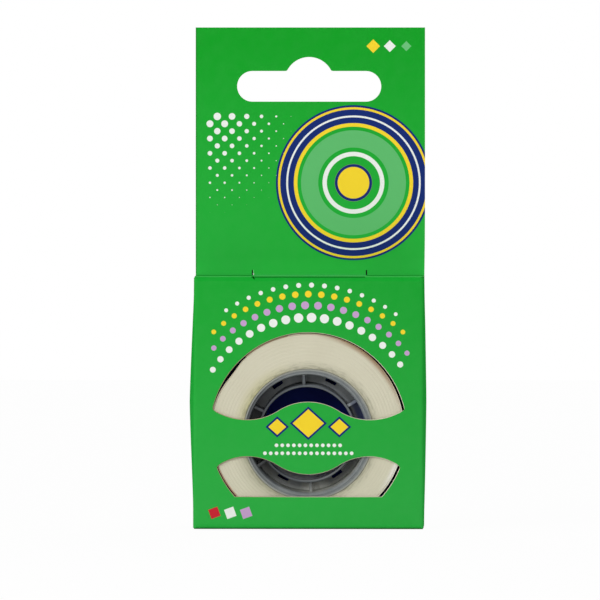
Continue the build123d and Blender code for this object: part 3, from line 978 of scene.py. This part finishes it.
def backPatches():
    # the header round its slot, the box's rear wall, and a strip on both sides of the lip between them
    middle = hanger["middle"]
    notchHalf = lipHigh[0] + hanger["notchSide"]
    notchTop = lipHigh[2] + hanger["notchLift"]
    low, high = np.array([-halfWidth, notchTop]), np.array([halfWidth, hanger["top"]])
    cap = np.linspace(-math.pi / 2, math.pi / 2, 31)
    straight = hanger["halfLength"] - hanger["endRadius"]
    capAngles = np.arctan2(hanger["endRadius"] * np.sin(cap), straight + hanger["endRadius"] * np.cos(cap))
    topRuns = np.arctan2(hanger["endRadius"], np.linspace(-straight, straight, 61))
    hump = np.radians(np.linspace(30, 150, 61))
    lowX = np.append(np.linspace(-halfWidth, halfWidth, 33), [-notchHalf, notchHalf])
    lowRun = np.arctan2(notchTop - middle[1], lowX - middle[0])
    angles = tidyAngles(capAngles, math.pi - capAngles, topRuns, -topRuns, hump, lowRun,
                        cornerAngles(middle, low, high))
    header = holedSheet(angles, hangerReach(angles), middle, low, high, 11)
    edge = header[-1]
    columns = np.sort(edge[np.abs(edge[:, 1] - notchTop) < 1e-6, 0])
    stripZ = np.linspace(lidTop, notchTop, 3)
    flats = [(header, True), (meshed(columns, np.linspace(0, lidTop, 15)), False)]
    flats.append((meshed(columns[columns < -notchHalf + 1e-6], stripZ), False))
    flats.append((meshed(columns[columns > notchHalf - 1e-6], stripZ), False))
    return [gridPatch(bowWalls(uprightAt(flat, halfDepth)), closed) for flat, closed in flats]


backWall = boardPiece("backWall", "back_panel", backPatches(), (0, 1, 0), "back", "header")
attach(backWall, "carton")

lip = {"side": 0.035, "foot": 0.005, "top": lipHigh[2] + 0.05, "bend": 0.3}     # bent near its top
lipSheet = meshed(np.linspace(lipLow[0] - lip["side"], lipHigh[0] + lip["side"], 27),
                  np.linspace(lidTop + lip["foot"], lip["top"], 9))
lipPatch = gridPatch(uprightAt(lipSheet, halfDepth))
lockLip = boardPiece("lockLip", "lock_lip", [lipPatch], (0, 1, 0), "back", "header")
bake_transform(lockLip)

seam = {"radius": 0.6, "taper": 4.0, "lead": 0.7, "short": 0.1, "clear": 0.05}


def gluePatches():
    # off the rear wall's inner face, a quarter turn, then forward along the left wall; ends taper
    radius, depth = seam["radius"], glueHigh[1] - glueLow[1]
    path = foldPath(seam["lead"], radius, depth - radius - seam["short"])
    x = glueLow[0] + seam["lead"] + radius - path[:, 1]
    y = glueHigh[1] - seam["clear"] - path[:, 0]
    share = np.clip((glueHigh[1] - y) / depth, 0, 1)
    half = (glueHigh[2] - glueLow[2]) / 2 - seam["taper"] * share
    z = (glueLow[2] + glueHigh[2]) / 2 + half * np.linspace(-1, 1, 13)[:, None]
    return [gridPatch(stacked(x, y, z))]


glueFlap = boardPiece("glueFlap", "glue_flap", gluePatches(), (-1, 0, 0))
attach(glueFlap, "carton")
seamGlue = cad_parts["seam_glue"]
seamGlue.data.materials.clear()
seamGlue.data.materials.append(finishes["glue"])

closure = {
    "tongueRadius": 0.6, "slit": 0.08, "tongueCorner": 3.5,
    "tongueRoot": lidTongueHigh[1] - 1.05,   # where the panel's middle stops and the tongue begins
}


def closurePatches(up, outerZ):
    # the lid (up 1) or base (up -1): off the front wall, over the front fold, back to the rear wall;
    # the middle of its rear edge stops short, where the tongue's fold begins
    radius, rootY = folds["radius"], closure["tongueRoot"]
    wallZ = folds["wallHigh"] if up > 0 else folds["wallLow"]
    path = foldPath(abs(outerZ - wallZ) - radius, radius, rootY + halfDepth - radius)
    inward, rise = path[:, :1], path[:, 1:]
    half = halfWidth - radius + (lidHigh[0] - halfWidth + radius) * np.clip(inward / radius, 0, 1) ** 2
    slitAt = (lidTongueHigh[0] + closure["slit"]) / lidHigh[0]
    outer = np.linspace(slitAt, 1, 8)
    share = np.unique(np.concatenate([-outer, np.linspace(-slitAt, slitAt, 15), outer]))
    patches = [gridPatch(bowWalls(stacked(half * share, inward - halfDepth, wallZ + up * rise)))]
    rearY = np.linspace(rootY, lidHigh[1], 3)[:, None]
    for columns in (share[share <= -slitAt + 1e-9], share[share >= slitAt - 1e-9]):
        patches.append(gridPatch(bowWalls(stacked(columns * lidHigh[0], rearY, outerZ))))
    return patches


def tonguePatches(up, outerZ):
    # on from the closure's rear edge, a quarter turn, then along the rear wall to a round-cornered tip
    low, high = (lidTongueLow, lidTongueHigh) if up > 0 else (baseTongueLow, baseTongueHigh)
    length = abs(outerZ - (low[2] if up > 0 else high[2]))
    radius, rootY = closure["tongueRadius"], closure["tongueRoot"]
    path = foldPath(high[1] - rootY - radius, radius, length - radius, runSteps=26)
    down, rearward = path[:, :1], path[:, 1:]
    half = roundedHalf(length - down, high[0], closure["tongueCorner"])
    return [gridPatch(stacked(half * np.linspace(-1, 1, 21), rootY + rearward, outerZ - up * down))]


for up, name, outerZ in ((1, "lid", lidTop), (-1, "base", 0.0)):
    panel = boardPiece(name + "Sheet", name + "_panel", closurePatches(up, outerZ), (0, -0.1, up))
    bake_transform(panel)
    tongue = boardPiece(name + "Tongue", name + "_tongue", tonguePatches(up, outerZ), (0, 1, 0))
    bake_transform(tongue)

dust = {"radius": 0.6, "corner": 4.0}


def dustPatches(side, up, outerZ):
    # up (or down) off the side wall, over its fold, level to a round-cornered free end
    low, high = (topFlapLow, topFlapHigh) if up > 0 else (baseFlapLow, baseFlapHigh)
    wallZ = folds["sideHigh"] if up > 0 else folds["sideLow"]
    radius, reach = dust["radius"], halfWidth - low[0]
    path = foldPath(abs(outerZ - wallZ) - radius, radius, reach - radius, runSteps=24)
    inward, rise = path[:, :1], path[:, 1:]
    half = roundedHalf(reach - inward, high[1], dust["corner"])
    points = stacked(side * (halfWidth - inward), half * np.linspace(-1, 1, 15), wallZ + up * rise)
    return [gridPatch(bowWalls(points))]


for up, level, outerZ in ((1, "top", topFlapHigh[2]), (-1, "bottom", baseFlapLow[2])):
    for side, hand in ((-1, "left"), (1, "right")):
        name = level + hand.capitalize() + "Flap"
        flap = boardPiece(name, f"{level}_{hand}_dust_flap", dustPatches(side, up, outerZ), (0, 0, up))
        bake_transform(flap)
print("carton done")


def rollPiece(name, node, patches, finish):
    piece = makePiece(name, patches, [finishes[finish]])
    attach(piece, "roll")
    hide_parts(node)


def leaned(points):
    # the core's inside shifts evenly with depth as far as the web, not at all at its outer face
    across, up = points[..., 0] - coreX, points[..., 2] - coreZ
    share = np.clip((coreOuter - np.hypot(across, up)) / (coreOuter - core["rimInner"]), 0, 1)
    depth = np.clip(points[..., 1] - rollY + rollHalf, 0, rollHalf)
    (offX, offZ), (leanX, leanZ) = core["off"], core["lean"]
    return points + share[..., None] * stacked(offX + leanX * depth, 0, offZ + leanZ * depth)


def coreGrid(radius, angle, y, closed=True):
    # a patch in radius, angle and depth about the core's axis
    points = stacked(coreX + radius * np.cos(angle), rollY + y, coreZ + radius * np.sin(angle))
    return gridPatch(leaned(points), closed)


def turnedRing(profile, steps):
    # a closed (radius, y) profile carried once round the core's axis
    angle = np.linspace(0, 2 * math.pi, steps + 1)[:, None]
    return coreGrid(profile[:, 0], angle, profile[:, 1])


def roundedLoop(low, high, radius, steps=3):
    # rectangle from low to high with quarter circles at its corners, as a closed loop
    turn = np.linspace(0, math.pi / 2, steps + 1)
    signs = np.array([[1, 1], [-1, 1], [-1, -1], [1, -1]])
    starts = np.arange(4)[:, None] * math.pi / 2 + turn
    centre = np.where(signs > 0, high, low) - signs * radius
    points = centre[:, None] + radius * rays(starts)
    return points.reshape(-1, 2)


def mirrored(half):
    # a (radius, y) profile carried on to the other side
    return np.vstack([half, half[::-1] * [1, -1]])


winding = {
    "inner": coreOuter + 0.05, "outer": woundOuter + 0.02, "edge": 0.15, "ripple": 0.035, "inset": 0.04,
    "waves": ((1.0, 7.3, 0), (0.8, 17.1, 1), (0.6, 31.7, 2)),        # share, radians per mm of radius, start
    # depth, angle, and spread before and after it in degrees
    "dents": ((-0.75, 143, 10, 14), (0.1, 62, 20, 20), (0.1, -33, 14, 14)),
}


def uneven(angle):
    # how far the last layers lie out of round: soft dents and bulges, bell curves of the angle
    amount, at, before, after = np.array(winding["dents"]).T
    away = np.mod(np.degrees(angle)[..., None] - at + 180, 360) - 180
    return (amount * np.exp(-(away / np.where(away < 0, before, after)) ** 2)).sum(-1)


def windingPatch():
    # a ring between the core's circle and the outer circle, along rays from the core's middle; its flat
    # sides are rippled by the uneven edges of the layers: a sum of sines of the radius
    inner, outer, edge = winding["inner"], winding["outer"], winding["edge"]
    radius = np.linspace(inner, outer - edge, 110)
    share, rate, start = np.array(winding["waves"]).T
    ripple = (share * np.sin(rate * radius[:, None] + start)).sum(-1) / share.sum()
    y = rollHalf - winding["inset"] + winding["ripple"] * ripple
    turn = np.linspace(0, math.pi / 2, 5)[1:]
    rounding = np.column_stack([outer - edge + edge * np.sin(turn), y[-1] - edge + edge * np.cos(turn)])
    profile = mirrored(np.vstack([np.column_stack([radius, y]), rounding]))
    angle = np.linspace(0, 2 * math.pi, 181)[:, None]
    cosine, sine = np.cos(angle), np.sin(angle)
    offX, offZ = rollX - coreX, rollZ - coreZ
    reach = offX * cosine + offZ * sine + np.sqrt(outer ** 2 - (offX * sine - offZ * cosine) ** 2)
    reach += uneven(np.arctan2(reach * sine - offZ, reach * cosine - offX))
    share = (profile[:, 0] - inner) / (outer - inner)
    return coreGrid(inner + (reach - inner) * share, angle, profile[:, 1])


rollPiece("windingBody", "wound_tape", [windingPatch()], "tape")

lap = {
    "inner": woundOuter + 0.03, "thick": 0.27, "startThick": 0.1, "easing": 30.0, "edge": 0.04,
    "endAngle": 130.0, "endGap": 0.6, "seam": 0.05,
}
tab = {"length": 13.0}


def stripPatch(first, last, steps, startThick):
    # a thin rounded strip laid along an arc, thickening over its first degrees, its ends drawn to a point
    angle = np.radians(np.linspace(first, last, steps))
    share = np.clip((angle - angle[0]) / math.radians(lap["easing"]), 0, 1)
    thickness = startThick + (lap["thick"] - startThick) * share * share * (3 - 2 * share)
    loop = roundedLoop(np.array([0, -rollHalf]), np.array([1, rollHalf]), lap["edge"])
    base = lap["inner"] + uneven(angle)[:, None]
    radius = base + thickness[:, None] * loop[:, 0]
    y = np.broadcast_to(loop[:, 1], radius.shape)
    ends = [base[at] + thickness[at] / 2 + 0 * radius[:1] for at in (0, -1)]
    radius = np.vstack([ends[0], radius, ends[1]])
    y = np.vstack([0 * y[:1], y, 0 * y[:1]])
    angle = np.concatenate([angle[:1], angle, angle[-1:]])[:, None]
    points = stacked(rollX + radius * np.cos(angle), rollY + y, rollZ + radius * np.sin(angle))
    return gridPatch(points, closed=True)


def lapTurn(length):                         # degrees that a length of the lap takes
    return math.degrees(length / lap["inner"])


lapStart = lap["endAngle"] + lapTurn(lap["endGap"]) - 360
tabStart = lap["endAngle"] - lapTurn(tab["length"])
lapStrip = stripPatch(lapStart, tabStart - lapTurn(lap["seam"]), 200, lap["startThick"])
rollPiece("outerLap", "outer_lap", [lapStrip], "film")
tabStrip = stripPatch(tabStart, lap["endAngle"], 24, lap["thick"])
rollPiece("starterTab", "starter_tab", [tabStrip], "tab")


def rimProfile():
    # outer lip, a shallow groove, an inner lip and a bevel into the bays, on both sides: (inset, y) pairs
    half = np.array([[0.0, 8.86], [0.12, 9.0], [0.62, 9.0], [0.70, 8.80], [0.92, 8.80],
                     [1.0, 8.95], [1.45, 8.95], [1.8, 8.5]])
    return mirrored(half * [-1, 1] + [coreOuter, 0])


def boreProfile():
    # a ring whose inside narrows from front to back, with small bevels at its edges
    half, outer, bevel = core["boreHalf"], core["boreOuter"], core["boreBevel"]
    front, back = core["bore"], core["boreBack"]
    return np.array([[front + bevel, -half], [outer - bevel, -half], [outer, bevel - half],
                     [outer, half - bevel], [outer - bevel, half], [back + bevel, half],
                     [back, half - bevel], [front, bevel - half]])


def ribPatches():
    # a rounded bar carried along the radius from the bore ring into the rim, its ends drawn to a point
    corner = np.array([core["ribThick"] / 2, core["ribHalf"]])
    section = roundedLoop(-corner, corner, core["ribEdge"]) * np.array([0.0, 1.0, 1.0, 0.0])[:, None, None]
    along = np.repeat(core["ribSpan"], 2)[:, None]
    aside, y = section[..., 0], section[..., 1]
    patches = []
    for step in range(core["ribs"]):
        angle = math.radians(core["ribAngle"] + step * 360 / core["ribs"])
        x = coreX + along * math.cos(angle) - aside * math.sin(angle)
        z = coreZ + along * math.sin(angle) + aside * math.cos(angle)
        patches.append(gridPatch(leaned(stacked(x, rollY + y, z)), closed=True))
    return patches


def webPatches():
    # a thin ring between bore and rim with a slot midway between two ribs: the faces of both sides in three
    # bands, the middle one left open at the slots, then the ring's edges and the walls of each slot
    step = 2 * math.pi / core["ribs"]
    middles = math.radians(core["ribAngle"]) + step * (np.arange(core["ribs"]) + 0.5)
    half = core["slotLength"] / 2 / core["slotAt"]
    slotLow, slotHigh = core["slotAt"] - core["slotWidth"] / 2, core["slotAt"] + core["slotWidth"] / 2
    inner, outer = core["webSpan"]
    opening, closing = np.linspace(-half, half, 9), np.linspace(half, step - half, 15)
    angles = (middles[:, None] + np.concatenate([opening[:-1], closing[:-1]])).ravel()
    sides = np.array([[-core["webHalf"]], [core["webHalf"]]])
    patches = []
    for y in sides:
        for band in ((inner, slotLow), (slotHigh, outer)):
            patches.append(coreGrid(np.array(band)[:, None], angles, y))
        for middle in middles:
            patches.append(coreGrid(np.array([[slotLow], [slotHigh]]), middle + closing, y, closed=False))
    patches += [coreGrid(radius, angles, sides) for radius in (inner, outer)]
    loopRadius = np.repeat([slotLow, slotHigh], len(opening))
    loopAngle = np.concatenate([opening, opening[::-1]])
    patches += [coreGrid(loopRadius, middle + loopAngle, sides) for middle in middles]
    return patches


corePatches = [turnedRing(rimProfile(), 180), turnedRing(boreProfile(), 144), *webPatches(), *ribPatches()]
rollPiece("tapeCore", "roll_core", corePatches, "core")
print("roll done")

studio = {
    "floorHalf": 1.5, "ambient": 0.50, "floorWhite": 0.96, "floorGrey": 0.93, "lampTarget": (0, 0, 0.07),
    "camera": (0.0877, -3.3, 0.131), "target": (-0.0023, -0.0108, 0.0634), "frameWidth": 0.1659, "sensor": 36,
    "clip": (0.05, 50),
}


def shownAs(coat, lighting, seen):
    # what the camera, mirrors and glass see comes from seen, what lights the object from lighting
    path = coat.node("ShaderNodeLightPath", {}, {})
    camera, glossy, clear = [Wire(coat, path.socket.node.outputs[f"Is {ray} Ray"])
                             for ray in ("Camera", "Glossy", "Transmission")]
    return coat.show(coat.blendShaders(camera.most(glossy).most(clear), lighting, seen))


white = (1, 1, 1, 1)
sky = Finish(bpy.data.worlds.new("studioWorld"))
skyLight, skySeen = [sky.node("ShaderNodeBackground", {}, {"Color": white, "Strength": strength})
                     for strength in (studio["ambient"], 1.0)]
bpy.context.scene.world = shownAs(sky, skyLight, skySeen)

paleFloor = newFinish("paleFloor")
matt = paleFloor.node("ShaderNodeBsdfDiffuse", {}, {"Color": (*[studio["floorGrey"]] * 3, 1)})
glow = paleFloor.node("ShaderNodeEmission", {}, {"Color": white, "Strength": 1.0})
floorSeen = paleFloor.blendShaders(studio["floorWhite"], matt, glow)     # the rest takes the object's shadow
floorMesh = bpy.data.meshes.new("floor")
half = studio["floorHalf"]
floorCorners = [(-half, -half, 0), (half, -half, 0), (half, half, 0), (-half, half, 0)]
floorMesh.from_pydata(floorCorners, [], [(0, 1, 2, 3)])
floorMesh.materials.append(shownAs(paleFloor, matt, floorSeen))
floor = addObject("floor", floorMesh)


def aimAt(thing, place, target):
    thing.location = place
    direction = np.array(target) - np.array(place)
    pitch = math.atan2(direction[2], math.hypot(direction[0], direction[1]))
    thing.rotation_euler = (math.pi / 2 + pitch, 0, math.atan2(-direction[0], direction[1]))


lamps = {
    "keyLamp": {"place": (-0.75, -1.05, 0.55), "size": 0.8, "energy": 7.6},
    "fillLamp": {"place": (0.35, -2.3, 0.5), "size": 1.6, "energy": 7.0},
    "backLamp": {"place": (0.6, 1.6, 1.4), "size": 1.4, "energy": 8.0},
}
for name, lamp in lamps.items():
    light = bpy.data.lights.new(name, "AREA")
    light.shape = "SQUARE"
    light.size = lamp["size"]
    light.energy = lamp["energy"]
    aimAt(addObject(name, light), lamp["place"], studio["lampTarget"])

lens = bpy.data.cameras.new("photoCamera")
lens.sensor_width = studio["sensor"]
lens.lens = studio["sensor"] * math.dist(studio["camera"], studio["target"]) / studio["frameWidth"]
lens.clip_start, lens.clip_end = studio["clip"]
camera = addObject("photoCamera", lens)
aimAt(camera, studio["camera"], studio["target"])
bpy.context.scene.camera = camera
bpy.context.scene.view_settings.view_transform = "Standard"
